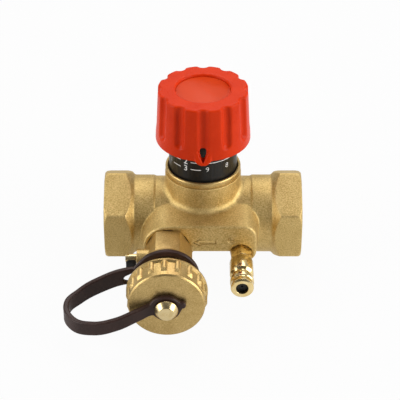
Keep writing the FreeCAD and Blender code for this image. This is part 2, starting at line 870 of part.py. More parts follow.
def drain_body():
    """Drain cock: shank, hexagon, strap neck, hose thread, and a boss for the stem."""
    core_radius = hose_thread_radius - hose_thread_depth
    corner_radius = drain_flats / math.sqrt(3)
    hexagon = prism(drain_flats, 6, pad_front, drain_hex_end, drain_axis, to_front)
    chamfers = turned([
        (0, pad_front),
        (corner_radius - drain_hex_chamfer, pad_front),
        (corner_radius, pad_front + drain_hex_chamfer),
        (corner_radius, drain_hex_end - drain_hex_chamfer),
        (corner_radius - drain_hex_chamfer, drain_hex_end),
        (0, drain_hex_end),
    ], drain_axis, to_front)
    solid = joined([
        rod(drain_shank_radius, drain_shank_start, pad_front, drain_axis, to_front),
        hexagon.common(chamfers),
        turned([
            (0, drain_hex_end),
            (drain_collar_radius, drain_hex_end),
            (drain_collar_radius, drain_collar_end),
            (drain_neck_radius, drain_collar_end),
            (drain_neck_radius, drain_neck_end),
            (core_radius, drain_neck_end),
            (core_radius, hose_thread_end),
            (0, hose_thread_end),
        ], drain_axis, to_front),
        rod(stem_boss_radius, 0, stem_boss_end, stem_axis, to_left),
    ])
    cuts = [
        rod(drain_inlet_radius, drain_shank_start, ball_chamber_start, drain_axis, to_front),
        rod(ball_chamber_radius, ball_chamber_start, retainer_end, drain_axis, to_front),
        rod(outlet_radius, retainer_end, hose_thread_end, drain_axis, to_front),
        rod(stem_collar_radius + running_gap, 0, stem_collar_end, stem_axis, to_left),
        rod(stem_pin_radius + running_gap, 0, stem_boss_end, stem_axis, to_left),
    ]
    return solid.cut(cuts)


def drain_o_ring():
    centre = drain_shank_radius + drain_ring_section + seal_gap
    return o_ring(centre, drain_ring_section, pad_front - drain_ring_recess / 2, drain_axis, to_front)


def drain_ball():
    """Ball, drawn shut: its hole stands upright, across the drain's axis."""
    ball = Part.makeSphere(ball_radius, stem_axis)
    hole = rod(ball_hole_radius, -ball_radius, ball_radius, stem_axis)
    slot = tang(ball_radius - tang_depth, ball_radius)
    return ball.cut([hole, slot])


def tang(low, high):
    """Flat end of the stem that drives the ball, from low to high along the stem."""
    across = block((drain_x - high, drain_x - low),
                   (-ball_centre - tang_thickness / 2, -ball_centre + tang_thickness / 2),
                   (-tang_width / 2, tang_width / 2))
    return across


def ball_seats():
    hollow = Part.makeSphere(ball_radius + running_gap, stem_axis)
    spans = ((ball_chamber_start, seat_ring_end), (outer_seat_end - seat_ring_length, outer_seat_end))
    rings = [tube(ball_chamber_radius, seat_ring_bore, *span, drain_axis, to_front) for span in spans]
    return Part.makeCompound([ring.cut(hollow) for ring in rings])


def ball_retainer():
    """Threaded ring behind the outer seat, with a slot for a flat key."""
    ring = tube(ball_chamber_radius, seat_ring_bore, outer_seat_end, retainer_end, drain_axis, to_front)
    slot = block((drain_x - ball_chamber_radius, drain_x + ball_chamber_radius),
                 (-retainer_end, -retainer_end + retainer_slot), (-retainer_slot / 2, retainer_slot / 2))
    return ring.cut(slot)


def drain_stem():
    solid = turned([
        (0, ball_radius),
        (stem_collar_radius, ball_radius + sliding_gap),
        (stem_collar_radius, stem_collar_end - sliding_gap),
        (stem_pin_radius, stem_collar_end - sliding_gap),
        (stem_pin_radius, stem_pin_end),
        (0, stem_pin_end),
    ], stem_axis, to_left)
    solid = solid.fuse(tang(ball_radius - tang_depth, ball_radius + sliding_gap))
    slot = block((drain_x - stem_pin_end, drain_x - stem_pin_end + stem_slot_depth),
                 (-ball_centre - stem_slot_width / 2, -ball_centre + stem_slot_width / 2),
                 (-stem_pin_radius, stem_pin_radius))
    groove = tube(2 * stem_pin_radius, stem_groove_floor, stem_ring_place - stem_groove_width / 2,
                  stem_ring_place + stem_groove_width / 2, stem_axis, to_left)
    return solid.cut([slot, groove])


def stem_o_ring():
    centre = stem_groove_floor + seal_gap + stem_ring_section
    return o_ring(centre, stem_ring_section, stem_ring_place, stem_axis, to_left)


def drain_lever():
    """Small tab that hugs the stem from below."""
    right = drain_x - stem_boss_end - loose_gap
    solid = block((right - lever_length, right),
                  (-ball_centre - lever_width / 2, -ball_centre + lever_width / 2), (-lever_drop, 0))
    solid = solid.makeChamfer(lever_chamfer, [
        edge for edge in solid.Edges
        if abs(edge_middle(edge).x - right + lever_length) < edge_tolerance and edge.BoundBox.YLength > 1
    ])
    return solid.cut(rod(stem_pin_radius, stem_boss_end, stem_pin_end, stem_axis, to_left))


def cap_rib(angle):
    """One grip rib: a round bar half sunk in the cap's wall, its front end cut off at a slant."""
    foot = cap_front - cap_rib_front
    line = drain_axis + upward * (cap_radius + cap_rib_height - cap_rib_radius)
    rib = rod(cap_rib_radius, cap_back, foot, line, to_front)
    above = cap_radius + 2 * cap_rib_height
    corners = [
        (cap_radius, foot), (above, foot - 2 * cap_rib_slant),
        (above, foot + cap_rib_slant), (cap_radius, foot + cap_rib_slant),
    ]
    points = [Vector(drain_x - cap_rib_radius, -distance, height) for height, distance in corners]
    slant = Part.Face(Part.makePolygon(points + points[:1])).extrude(Vector(2 * cap_rib_radius, 0, 0))
    rib = rib.cut(slant)
    rib.rotate(drain_axis, to_front, angle)
    return rib


def drain_cap():
    bore = hose_thread_radius + sliding_gap
    flange_front = cap_back + cap_flange_length
    shell = turned([
        (bore, cap_back),
        (cap_radius + cap_flange, cap_back),
        (cap_radius + cap_flange, flange_front),
        (cap_radius, flange_front + cap_flange / 2),
        (cap_radius, cap_front - cap_edge),
        (cap_radius - cap_edge, cap_front),
        (stud_shank_radius, cap_front),
        (stud_shank_radius, cap_floor),
        (bore, cap_floor),
    ], drain_axis, to_front)
    step = 360.0 / cap_ribs
    return joined([shell] + [cap_rib(cap_rib_turn + step * k) for k in range(cap_ribs)])


def cap_gasket():
    outer = hose_thread_radius - gasket_gap
    return tube(outer, outlet_radius, hose_thread_end, cap_floor, drain_axis, to_front)


def cap_stud():
    """Riveted stud: tail inside the cap, shank, and a conical head that holds the strap."""
    return turned([
        (0, cap_floor - stud_tail_length),
        (stud_tail_radius, cap_floor - stud_tail_length),
        (stud_tail_radius, cap_floor),
        (stud_shank_radius, cap_floor),
        (stud_shank_radius, stud_head_start),
        (stud_head_radius, stud_head_start),
        (stud_head_radius, stud_head_start + stud_rim),
        (stud_tip_radius, stud_head_end),
        (0, stud_head_end),
    ], drain_axis, to_front)


def strap_band():
    """Flat band swept along its bend with the broad face upright, narrowing to the stud."""
    eye_wall = (strap_eye_radius + strap_eye_hole) / 2
    button_wall = (strap_button_radius + strap_button_hole) / 2
    eye_rim = Vector(-strap_eye_radius, -strap_eye_back - strap_eye_length / 2, 0)
    button_rim = Vector(-strap_button_radius, -strap_button_back - strap_button_length / 2, 0)
    bend = [eye_rim + to_right * (strap_eye_radius - eye_wall)]
    bend += [eye_rim + Vector(*point) for point in strap_bend_at_eye]
    bend += [button_rim + Vector(*point) for point in strap_bend_at_stud]
    bend.append(button_rim + to_right * (strap_button_radius - button_wall))
    line = Part.BSplineCurve()
    line.interpolate([drain_axis + point for point in bend])
    sweep = Part.BRepOffsetAPI.MakePipeShell(Part.Wire([line.toShape()]))
    sweep.setBiNormalMode(upward)
    for end, width in ((line.FirstParameter, strap_width), (line.LastParameter, strap_button_width)):
        across = line.tangent(end)[0].cross(upward).normalize() * (strap_thickness / 2)
        half = upward * (width / 2)
        point = line.value(end)
        near, far = point - across, point + across
        corners = [near - half, far - half, far + half, near + half]
        sweep.add(Part.makePolygon(corners + corners[:1]))
    sweep.build()
    sweep.makeSolid()
    return sweep.shape()


def strap():
    """Moulded rubber strap: an eye round the drain's neck, a band, and a button eye on the stud."""
    eye = tube(strap_eye_radius, strap_eye_hole, strap_eye_back, strap_eye_back + strap_eye_length,
               drain_axis, to_front)
    button = tube(strap_button_radius, strap_button_hole, strap_button_back,
                  strap_button_back + strap_button_length, drain_axis, to_front)
    clear = [
        rod(strap_eye_hole, strap_eye_back - strap_width, cap_back, drain_axis, to_front),
        rod(strap_button_hole, cap_front, stud_head_end, drain_axis, to_front),
    ]
    return joined([eye, strap_band(), button]).cut(clear)


def measuring_nipple():
    """Test nipple: thread, hexagon, flange, neck, bead and rimmed tip; turned walls slope 45 degrees."""
    hexagon = prism(nipple_flats, 6, nipple_seat + seal_gap, nipple_hex_end, nipple_axis, to_front, 90.0)
    body = turned([
        (0, nipple_thread_start),
        (nipple_thread_radius, nipple_thread_start),
        (nipple_thread_radius, nipple_hex_end),
        (nipple_flats / 2, nipple_hex_end),
        (nipple_flange_radius, nipple_flange_start),
        (nipple_flange_radius, nipple_flange_end),
        (nipple_neck_radius, nipple_neck_start),
        (nipple_neck_radius, nipple_neck_end),
        (nipple_bead_radius, nipple_bead_start),
        (nipple_bead_radius, nipple_bead_end),
        (nipple_groove_radius, nipple_groove_start),
        (nipple_groove_radius, nipple_groove_end),
        (nipple_rim_radius, nipple_rim_start),
        (nipple_rim_radius, nipple_rim_end),
        (nipple_tip_radius, nipple_tip),
        (0, nipple_tip),
    ], nipple_axis, to_front)
    bore = [
        rod(nipple_drill_radius, nipple_thread_start, nipple_tip, nipple_axis, to_front),
        rod(nipple_core_radius, nipple_chamber_start, nipple_lip_start, nipple_axis, to_front),
        rod(nipple_bore_radius, nipple_lip_start, nipple_tip, nipple_axis, to_front),
    ]
    return joined([hexagon, body]).cut(bore)


def nipple_o_ring():
    centre = nipple_thread_radius + nipple_ring_section + seal_gap
    return o_ring(centre, nipple_ring_section, nipple_seat - nipple_ring_recess / 2, nipple_axis, to_front)


def nipple_core():
    """Rubber plug behind the lip of the nipple's tip, pierced for the gauge needle."""
    return tube(nipple_core_radius - seal_gap, nipple_core_hole, nipple_chamber_start + seal_gap,
                nipple_lip_start - loose_gap, nipple_axis, to_front)


pieces = [
    valve_body, bonnet, bonnet_o_ring, spindle_o_rings, scale_ring,
    valve_cone, cone_seal, cone_clip, shutoff_spindle, knob, knob_clip, knob_cover,
    setting_spindle, setting_o_ring,
    drain_body, drain_o_ring, drain_ball, ball_seats, ball_retainer,
    drain_stem, stem_o_ring, drain_lever, drain_cap, cap_gasket, cap_stud, strap,
    measuring_nipple, nipple_o_ring, nipple_core,
]

if __name__ == "__main__":
    os.makedirs("parts", exist_ok=True)
    for piece in pieces:
        shape = piece()
        shape.exportStep("parts/" + piece.__name__ + ".step")
        print(piece.__name__, len(shape.Solids), shape.isValid(), round(shape.Volume, 1))
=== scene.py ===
import json
import math

import bpy
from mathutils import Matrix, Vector

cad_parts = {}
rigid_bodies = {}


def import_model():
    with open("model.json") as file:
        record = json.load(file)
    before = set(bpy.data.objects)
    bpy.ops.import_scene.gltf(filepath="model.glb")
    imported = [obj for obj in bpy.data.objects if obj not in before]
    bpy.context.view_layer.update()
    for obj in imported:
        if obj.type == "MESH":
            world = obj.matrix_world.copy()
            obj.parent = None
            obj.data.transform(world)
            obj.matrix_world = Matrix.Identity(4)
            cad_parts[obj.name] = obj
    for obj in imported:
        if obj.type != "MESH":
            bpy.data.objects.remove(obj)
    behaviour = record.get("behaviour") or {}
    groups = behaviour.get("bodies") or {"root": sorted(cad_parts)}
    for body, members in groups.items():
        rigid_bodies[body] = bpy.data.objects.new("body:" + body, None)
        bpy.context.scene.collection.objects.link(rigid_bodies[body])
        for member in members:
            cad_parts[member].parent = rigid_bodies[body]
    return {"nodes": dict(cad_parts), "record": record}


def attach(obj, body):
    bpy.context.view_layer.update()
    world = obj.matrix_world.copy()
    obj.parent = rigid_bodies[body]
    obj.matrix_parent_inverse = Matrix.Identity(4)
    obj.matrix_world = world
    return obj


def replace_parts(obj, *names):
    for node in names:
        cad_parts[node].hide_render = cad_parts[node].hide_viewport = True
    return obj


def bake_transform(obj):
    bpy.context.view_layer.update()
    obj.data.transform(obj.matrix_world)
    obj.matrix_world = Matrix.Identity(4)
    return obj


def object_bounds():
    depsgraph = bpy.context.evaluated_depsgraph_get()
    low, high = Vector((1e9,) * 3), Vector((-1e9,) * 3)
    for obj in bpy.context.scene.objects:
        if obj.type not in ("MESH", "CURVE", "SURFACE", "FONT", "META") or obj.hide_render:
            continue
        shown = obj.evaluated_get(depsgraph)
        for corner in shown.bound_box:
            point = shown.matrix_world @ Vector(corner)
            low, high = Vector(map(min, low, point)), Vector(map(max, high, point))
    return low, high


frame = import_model()
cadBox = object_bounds()
nodes = frame["nodes"]
scene = bpy.context.scene
scene.view_settings.view_transform = "Standard"
mm = 0.001
print("frame loaded:", len(nodes), "nodes")


# small helpers

def selectOnly(*pieces):
    if bpy.context.mode != "OBJECT":
        bpy.ops.object.mode_set(mode="OBJECT")
    bpy.ops.object.select_all(action="DESELECT")
    for piece in pieces:
        piece.select_set(True)
        bpy.context.view_layer.objects.active = piece


def editAll(piece):
    selectOnly(piece)
    bpy.ops.object.mode_set(mode="EDIT")
    bpy.ops.mesh.select_all(action="SELECT")


def leaveEdit():
    bpy.ops.object.mode_set(mode="OBJECT")


def addModifier(piece, kind, **settings):
    modifier = piece.modifiers.new(kind.title(), kind)
    for key, value in settings.items():
        setattr(modifier, key, value)
    selectOnly(piece)
    bpy.ops.object.modifier_apply(modifier=modifier.name)


def settle(piece):  # place, turn and scale go into the mesh
    selectOnly(piece)
    bpy.ops.object.transform_apply(location=True, rotation=True, scale=True)


def smooth(piece, degrees):
    selectOnly(piece)
    bpy.ops.object.shade_smooth_by_angle(angle=math.radians(degrees))


def dress(piece, name, finish):
    piece.name = name
    piece.data.name = name
    piece.data.materials.clear()
    piece.data.materials.append(finish)
    return piece


def cutAcross(piece, axis, low, high, step):  # many bisects along one axis, for a bend to follow
    normal = Vector((0, 0, 0))
    normal[axis] = 1.0
    editAll(piece)
    place = low
    while place < high:
        point = normal * place
        bpy.ops.mesh.select_all(action="SELECT")
        bpy.ops.mesh.bisect(plane_co=point, plane_no=normal)
        place += step
    leaveEdit()


def mergedCopy(nodeName, name):  # a node's own triangles, joined at their corners
    piece = bpy.data.objects.new(name, nodes[nodeName].data.copy())
    scene.collection.objects.link(piece)
    editAll(piece)
    bpy.ops.mesh.remove_doubles(threshold=0.0005 * mm)
    leaveEdit()
    return piece


def softenedCopy(nodeName, name, size):  # a merged copy with every edge worn round
    piece = mergedCopy(nodeName, name)
    addModifier(piece, "REMESH", mode="VOXEL", voxel_size=size["voxel"])
    addModifier(piece, "SMOOTH", factor=size["softening"], iterations=size["rounds"])
    triangles = 2 * len(piece.data.polygons)
    if triangles > size["mostTriangles"]:
        addModifier(piece, "DECIMATE", ratio=size["mostTriangles"] / triangles)
    return piece, triangles


# node helpers for the finishes

def newFinish(name):
    finish = bpy.data.materials.new(name)
    finish.use_nodes = True
    finish.node_tree.nodes.clear()
    return finish


def put(tree, kind, settings=None, **sockets):
    node = tree.nodes.new(kind)
    for key, value in (settings or {}).items():
        setattr(node, key, value)
    for key, value in sockets.items():
        node.inputs[key.replace("_", " ")].default_value = value
    return node


def join(tree, source, target):
    tree.links.new(source, target)


def ramp(tree, source, stops):
    node = tree.nodes.new("ShaderNodeValToRGB")
    elements = node.color_ramp.elements
    while len(elements) < len(stops):
        elements.new(0.5)
    for element, (place, colour) in zip(elements, stops):
        element.position = place
        element.color = (*colour, 1.0)
    join(tree, source, node.inputs["Fac"])
    return node.outputs["Color"]


def mapRange(tree, source, low, high, fromLow, fromHigh):
    node = put(tree, "ShaderNodeMapRange", From_Min=fromLow, From_Max=fromHigh, To_Min=low, To_Max=high)
    join(tree, source, node.inputs["Value"])
    return node.outputs["Result"]


def math2(tree, operation, first, second=None):
    node = tree.nodes.new("ShaderNodeMath")
    node.operation = operation
    for place, value in enumerate((first, second)):
        if value is None:
            continue
        if isinstance(value, (int, float)):
            node.inputs[place].default_value = value
        else:
            join(tree, value, node.inputs[place])
    return node.outputs[0]


def noise(tree, coords, scale, detail, roughness=0.55):
    node = put(tree, "ShaderNodeTexNoise", Scale=scale, Detail=detail, Roughness=roughness)
    join(tree, coords, node.inputs["Vector"])
    return node.outputs["Fac"]


def bump(tree, height, strength, distance):
    node = put(tree, "ShaderNodeBump", Strength=strength, Distance=distance)
    join(tree, height, node.inputs["Height"])
    return node.outputs["Normal"]


def tint(tree, factor, source, colour):  # the source, drawn towards one colour
    node = put(tree, "ShaderNodeMix", {"data_type": "RGBA"})
    node.inputs[7].default_value = (*colour, 1.0)
    join(tree, factor, node.inputs[0])
    join(tree, source, node.inputs[6])
    return node.outputs[2]


def objectCoords(tree):
    return tree.nodes.new("ShaderNodeTexCoord").outputs["Object"]


def shade(tree, colour, roughness, normal, **sockets):
    shader = put(tree, "ShaderNodeBsdfPrincipled", **sockets)
    join(tree, colour, shader.inputs["Base Color"])
    join(tree, roughness, shader.inputs["Roughness"])
    join(tree, normal, shader.inputs["Normal"])
    output = tree.nodes.new("ShaderNodeOutputMaterial")
    join(tree, shader.outputs["BSDF"], output.inputs["Surface"])


# finishes

def mottle(tree, grain, patches, look):  # mostly grain, with some larger patches
    mixed = math2(tree, "ADD", math2(tree, "MULTIPLY", grain, 0.8), math2(tree, "MULTIPLY", patches, 0.2))
    return mixed, ramp(tree, mixed, [(0.36, look["dark"]), (0.5, look["mid"]), (0.64, look["light"])])


castLook = {
    "dark": (0.43, 0.290, 0.095), "mid": (0.60, 0.432, 0.168), "light": (0.745, 0.57, 0.265),
    "grainScale": 2000.0, "fineScale": 4200.0, "patchScale": 130.0,
    "valley": (0.55, 0.0, 0.42, 0.495), "crest": (0.0, 0.5, 0.51, 0.57),  # share of tint, span of edge; valley: tarnish and painted shade in the hollows, crest: painted highlight on the edges
    "rough": (0.50, 0.62, 0.3, 0.7), "faceSmoother": 0.2,
    "grainHeight": 0.00022, "grainBump": 0.8, "faceStart": 0.03725,
}


def castFinish():
    look = castLook
    finish = newFinish("castBrass")
    tree = finish.node_tree
    coords = objectCoords(tree)
    grain = noise(tree, coords, look["grainScale"], 5.0, 0.6)
    fine = noise(tree, coords, look["fineScale"], 3.0, 0.6)
    patches = noise(tree, coords, look["patchScale"], 4.0)
    colour = mottle(tree, grain, patches, look)[1]
    edge = tree.nodes.new("ShaderNodeNewGeometry").outputs["Pointiness"]
    # painted shade and highlight: hollows are drawn towards the dark tone, partly as tarnish and partly as
    # painted shade, and edges are drawn towards the light tone as a painted highlight
    colour = tint(tree, mapRange(tree, edge, *look["valley"]), colour, look["dark"])
    colour = tint(tree, mapRange(tree, edge, *look["crest"]), colour, look["light"])
    place = tree.nodes.new("ShaderNodeSeparateXYZ")
    join(tree, coords, place.inputs[0])
    machined = math2(tree, "GREATER_THAN", math2(tree, "ABSOLUTE", place.outputs["X"]), look["faceStart"])
    blasted = math2(tree, "SUBTRACT", 1.0, machined)
    height = math2(tree, "ADD", math2(tree, "MULTIPLY", grain, 0.7), math2(tree, "MULTIPLY", fine, 0.3))
    height = math2(tree, "MULTIPLY", height, blasted)
    rough = mapRange(tree, grain, *look["rough"])
    rough = math2(tree, "SUBTRACT", rough, math2(tree, "MULTIPLY", machined, look["faceSmoother"]))
    shade(tree, colour, rough, bump(tree, height, look["grainBump"], look["grainHeight"]), Metallic=1.0)
    return finish


drainLook = {
    "dark": (0.42, 0.280, 0.096), "mid": (0.555, 0.386, 0.150), "light": (0.69, 0.505, 0.223),
    "grainScale": 3000.0, "patchScale": 220.0, "grainHeight": 0.00007, "grainBump": 0.6,
    "rough": (0.38, 0.48, 0.35, 0.65),
}


def drainFinish():
    look = drainLook
    finish = newFinish("drainBrass")
    tree = finish.node_tree
    coords = objectCoords(tree)
    grain = noise(tree, coords, look["grainScale"], 4.0, 0.6)
    patches = noise(tree, coords, look["patchScale"], 3.0)
    mottled, colour = mottle(tree, grain, patches, look)
    rough = mapRange(tree, mottled, *look["rough"])
    shade(tree, colour, rough, bump(tree, grain, look["grainBump"], look["grainHeight"]), Metallic=1.0)
    return finish


polishedLook = {
    "dark": (0.78, 0.58, 0.25), "light": (0.90, 0.72, 0.38), "lineScale": 450.0, "lineHeight": 0.000006,
    "rough": (0.16, 0.24),
}
turnedLook = {
    "dark": (0.50, 0.34, 0.11), "light": (0.70, 0.52, 0.22), "lineScale": 250.0, "lineHeight": 0.00002,
    "rough": (0.16, 0.3),
}
studLook = {
    "dark": (0.66, 0.50, 0.24), "light": (0.80, 0.64, 0.35), "lineScale": 350.0, "lineHeight": 0.00001,
    "rough": (0.24, 0.34),
}
turningLines = {"bend": 0.6, "detail": 2.0, "bump": 0.25, "blotchScale": 400.0}


def polishedFinish(name, lineAxis, look):  # fine turning lines run round the turned axis
    finish = newFinish(name)
    tree = finish.node_tree
    coords = objectCoords(tree)
    lines = put(tree, "ShaderNodeTexWave", {"wave_type": "BANDS", "bands_direction": lineAxis},
                Scale=look["lineScale"], Distortion=turningLines["bend"], Detail=turningLines["detail"])
    join(tree, coords, lines.inputs["Vector"])
    blotch = noise(tree, coords, turningLines["blotchScale"], 3.0)
    colour = ramp(tree, blotch, [(0.3, look["dark"]), (0.7, look["light"])])
    rough = mapRange(tree, blotch, *look["rough"], 0.3, 0.7)
    normal = bump(tree, lines.outputs["Fac"], turningLines["bump"], look["lineHeight"])
    shade(tree, colour, rough, normal, Metallic=1.0)
    return finish


plasticLook = {
    "red": ((0.60, 0.030, 0.003), (0.68, 0.041, 0.006), 0.24, 0.36, 0.09),
    "disc": ((0.60, 0.046, 0.006), (0.66, 0.056, 0.010), 0.28, 0.40, 0.12),
    "black": ((0.006, 0.0055, 0.005), (0.010, 0.0092, 0.0085), 0.30, 0.44, 0.3),
    "seat": ((0.78, 0.77, 0.73), (0.86, 0.85, 0.81), 0.35, 0.45, 0.5),
    "ink": ((0.80, 0.80, 0.78), (0.88, 0.88, 0.86), 0.45, 0.6, 0.4),
    "skinScale": 3000.0, "flowScale": 90.0, "skinHeight": 0.000012,
}


def plasticFinish(name, kind):
    look = plasticLook
    dark, light, smoothest, roughest, gloss = look[kind]
    finish = newFinish(name)
    tree = finish.node_tree
    coords = objectCoords(tree)
    skin = noise(tree, coords, look["skinScale"], 3.0)
    flow = noise(tree, coords, look["flowScale"], 2.0)
    colour = ramp(tree, flow, [(0.3, dark), (0.7, light)])
    rough = mapRange(tree, skin, smoothest, roughest, 0.3, 0.7)
    shade(tree, colour, rough, bump(tree, skin, 0.5, look["skinHeight"]), Specular_IOR_Level=gloss)
    return finish


rubberLook = {
    "brown": ((0.028, 0.0125, 0.009), (0.044, 0.021, 0.016)),
    "seal": ((0.008, 0.008, 0.008), (0.016, 0.016, 0.017)),
    "gloss": 0.28, "speckScale": 1800.0, "bloomScale": 160.0, "speckHeight": 0.00003,
}


def rubberFinish(name, kind):
    look = rubberLook
    dark, light = look[kind]
    finish = newFinish(name)
    tree = finish.node_tree
    coords = objectCoords(tree)
    specks = noise(tree, coords, look["speckScale"], 4.0)
    bloom = noise(tree, coords, look["bloomScale"], 3.0)
    colour = ramp(tree, bloom, [(0.3, dark), (0.7, light)])
    rough = mapRange(tree, bloom, 0.32, 0.48, 0.3, 0.7)
    shade(tree, colour, rough, bump(tree, specks, 0.5, look["speckHeight"]), Specular_IOR_Level=look["gloss"])
    return finish


steelLook = {
    "dark": (0.42, 0.42, 0.43), "light": (0.58, 0.58, 0.6), "drawnScale": 900.0, "drawnHeight": 0.00001,
}


def steelFinish():
    look = steelLook
    finish = newFinish("springSteel")
    tree = finish.node_tree
    coords = objectCoords(tree)
    drawn = noise(tree, coords, look["drawnScale"], 3.0)
    colour = ramp(tree, drawn, [(0.3, look["dark"]), (0.7, look["light"])])
    rough = mapRange(tree, drawn, 0.2, 0.36, 0.3, 0.7)
    shade(tree, colour, rough, bump(tree, drawn, 0.2, look["drawnHeight"]), Metallic=1.0)
    return finish


castBrass = castFinish()
drainBrass = drainFinish()
polishedBrass = polishedFinish("polishedBrass", "Y", polishedLook)
turnedBrass = polishedFinish("turnedBrass", "Z", turnedLook)
studBrass = polishedFinish("studBrass", "Y", studLook)
redPlastic = plasticFinish("redPlastic", "red")
discPlastic = plasticFinish("discPlastic", "disc")
blackPlastic = plasticFinish("blackPlastic", "black")
seatPlastic = plasticFinish("seatPlastic", "seat")
scaleInk = plasticFinish("scaleInk", "ink")
brownRubber = rubberFinish("brownRubber", "brown")
sealRubber = rubberFinish("sealRubber", "seal")
springSteel = steelFinish()

finishOfSlot = {
    "cast_brass": castBrass, "turned_brass": turnedBrass, "drain_brass": drainBrass,
    "polished_brass": polishedBrass, "red_plastic": redPlastic, "black_plastic": blackPlastic,
    "seat_plastic": seatPlastic, "brown_rubber": brownRubber, "seal_rubber": sealRubber,
    "spring_steel": springSteel,
}
for part in frame["record"]["subparts"]:
    cadPiece = nodes[part["node"]]
    cadPiece.data.materials.clear()
    cadPiece.data.materials.append(finishOfSlot[part["material_slot"]])
print("finishes on", len(nodes), "nodes")


# body of the valve: the cast solid with the soft edges and valleys of a casting

castBody = {
    "voxel": 0.32 * mm, "softening": 0.5, "rounds": 4, "mostTriangles": 190000, "rimLevel": 20.3 * mm,
    "crease": 50.0,
}


def ringMark(x, z, radius, count):
    turns = [k * math.tau / count for k in range(count)]
    return [(x + radius * math.cos(turn), z + radius * math.sin(turn)) for turn in turns]


castMarks = {  # outlines sunk in the pad's front, (x, z) of their middle lines
    "padFront": 22.8 * mm, "groove": 0.36 * mm,
    "arrow": [(-3.6, 2.2), (-1.2, 3.7), (-1.2, 2.75), (4.7, 2.75), (4.7, 1.65), (-1.2, 1.65), (-1.2, 0.7)],
    "spot": ringMark(10.4, 3.3, 1.1, 20), "spotMiddle": ringMark(10.4, 3.3, 0.4, 8),
}


def sinkMark(body, outline):  # a round groove along the outline
    wire = bpy.data.curves.new("mark", "CURVE")
    wire.dimensions = "3D"
    wire.bevel_depth = castMarks["groove"]
    wire.bevel_resolution = 2
    spline = wire.splines.new("POLY")
    spline.points.add(len(outline) - 1)
    spline.use_cyclic_u = True
    for point, (x, z) in zip(spline.points, outline):
        point.co = (x * mm, -castMarks["padFront"], z * mm, 1.0)
    cutter = bpy.data.objects.new("mark", wire)
    scene.collection.objects.link(cutter)
    selectOnly(cutter)
    bpy.ops.object.convert(target="MESH")
    cutter = bpy.context.object
    addModifier(body, "BOOLEAN", operation="DIFFERENCE", solver="MANIFOLD", object=cutter)
    bpy.data.objects.remove(cutter)


def makeCastBody():
    size = castBody
    body, triangles = softenedCopy("valve_body", "castBody", size)
    for outline in (castMarks["arrow"], castMarks["spot"], castMarks["spotMiddle"]):
        sinkMark(body, outline)
    editAll(body)  # the machined rim of the neck is a piece of its own
    bpy.ops.mesh.bisect(plane_co=(0, 0, size["rimLevel"]), plane_no=(0, 0, 1), use_fill=True, clear_outer=True)
    leaveEdit()
    smooth(body, size["crease"])
    dress(body, "castBody", castBrass)
    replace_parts(body, "valve_body")
    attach(body, "valve")
    print("cast body:", len(body.data.polygons), "faces from", triangles, "triangles")


makeCastBody()


# turned pieces: an outline of (radius, distance along the axis) spun round

spinSteps = 96


def spin(outline):
    bpy.ops.object.select_all(action="DESELECT")
    bpy.ops.mesh.primitive_circle_add(vertices=len(outline), radius=1.0, fill_type="NOTHING")
    piece = bpy.context.object
    for vertex, (radius, height) in zip(piece.data.vertices, outline):
        vertex.co = (radius * mm, 0, height * mm)
    addModifier(piece, "SCREW", angle=math.tau, steps=spinSteps, render_steps=spinSteps, axis="Z",
                use_merge_vertices=False)
    editAll(piece)
    bpy.ops.mesh.remove_doubles(threshold=0.001 * mm)  # corners on the axis meet in one point
    bpy.ops.mesh.delete_loose(use_verts=True, use_edges=True, use_faces=False)
    bpy.ops.mesh.select_all(action="SELECT")
    bpy.ops.mesh.normals_make_consistent(inside=False)
    leaveEdit()
    return piece


def toFront(piece, x, z):  # from +Z at the origin to -Y at (x, z)
    piece.rotation_euler = (math.radians(90), 0, 0)
    piece.location = (x * mm, 0, z * mm)
    settle(piece)


neckRim = [
    (13.12, 20.0), (14.02, 20.0), (14.02, 20.4), (14.18, 20.52), (14.25, 20.7), (14.25, 22.3), (14.18, 22.6),
    (13.98, 22.85), (13.7, 22.97), (13.35, 22.94), (13.12, 22.75),
]
studHead = [
    (0.0, 54.5), (3.6, 54.5), (3.6, 55.3), (2.4, 55.3), (2.4, 60.4), (4.05, 60.4), (4.18, 60.5), (4.2, 60.62),
    (4.2, 60.72), (4.14, 60.86), (2.86, 62.7), (2.7, 62.84), (2.5, 62.9), (0.0, 62.9),
]
nippleBody = [
    (1.25, 24.0), (3.4, 24.0), (3.4, 27.6), (3.75, 27.8), (4.3, 28.4), (4.4, 28.65), (4.4, 35.5),
    (4.34, 35.68), (3.62, 36.4), (3.52, 36.54), (3.5, 36.7), (3.5, 37.9), (3.54, 38.1), (4.28, 38.72),
    (4.4, 38.95), (4.4, 40.5), (4.35, 40.65), (4.05, 40.95), (4.0, 41.1), (4.0, 41.8), (4.04, 41.95),
    (4.2, 42.1), (4.25, 42.25), (4.25, 43.4), (4.18, 43.55), (3.6, 43.93), (3.4, 44.0), (2.4, 44.0),
    (2.3, 43.92), (2.3, 42.8), (2.7, 42.8), (2.7, 31.3), (1.25, 31.3),
]
nippleHex = {"corner": 4.388, "start": 22.4, "end": 28.0, "edge": 0.14}
drainAxis = (-13.0, 0.0)  # (x, z) of the axes that run to the front
nippleAxis = (14.3, -3.1)


def makeRim():
    rim = spin(neckRim)
    smooth(rim, 35.0)
    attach(dress(rim, "neckRim", drainBrass), "valve")


def makeStud():
    stud = spin(studHead)
    toFront(stud, *drainAxis)
    smooth(stud, 25.0)
    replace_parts(dress(stud, "capStud", studBrass), "cap_stud")
    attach(stud, "cap")


